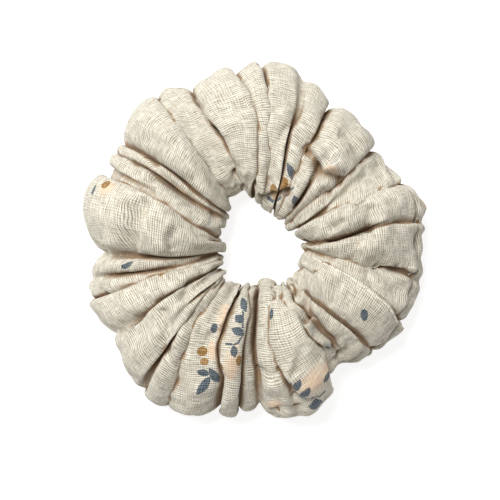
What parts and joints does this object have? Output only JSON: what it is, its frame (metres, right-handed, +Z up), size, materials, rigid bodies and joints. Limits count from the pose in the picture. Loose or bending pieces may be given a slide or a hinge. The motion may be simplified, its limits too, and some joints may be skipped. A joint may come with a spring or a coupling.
{
  "type": "scrunchie",
  "caption": "Gathered fabric hair tie lying flat: a sewn tube of printed cotton gauze bunched into a puffy ring on a hidden elastic loop.",
  "frame": {"origin": "on the table, under the centre of the ring's bounding box", "axes": "+Z up along the ring's axis; the closing seam crosses the ring on the +X side, 26 degrees towards -Y"},
  "size_m": [0.1102, 0.108, 0.0261],
  "materials": {
    "cotton_gauze": "loose plain weave cotton gauze, cream, with a sparse slate blue and ochre leaf print",
    "woven_elastic": "white braided elastic, matt",
    "sewing_thread": "cream polyester thread, slight sheen"
  },
  "bodies": {
    "root": {"fabric_cover": "cotton_gauze", "elastic_band": "woven_elastic", "long_seam_needle_thread": "sewing_thread", "long_seam_bobbin_thread": "sewing_thread", "closing_seam_needle_thread": "sewing_thread", "closing_seam_bobbin_thread": "sewing_thread", "elastic_join_needle_thread": "sewing_thread", "elastic_join_bobbin_thread": "sewing_thread"}
  },
  "joints": []
}
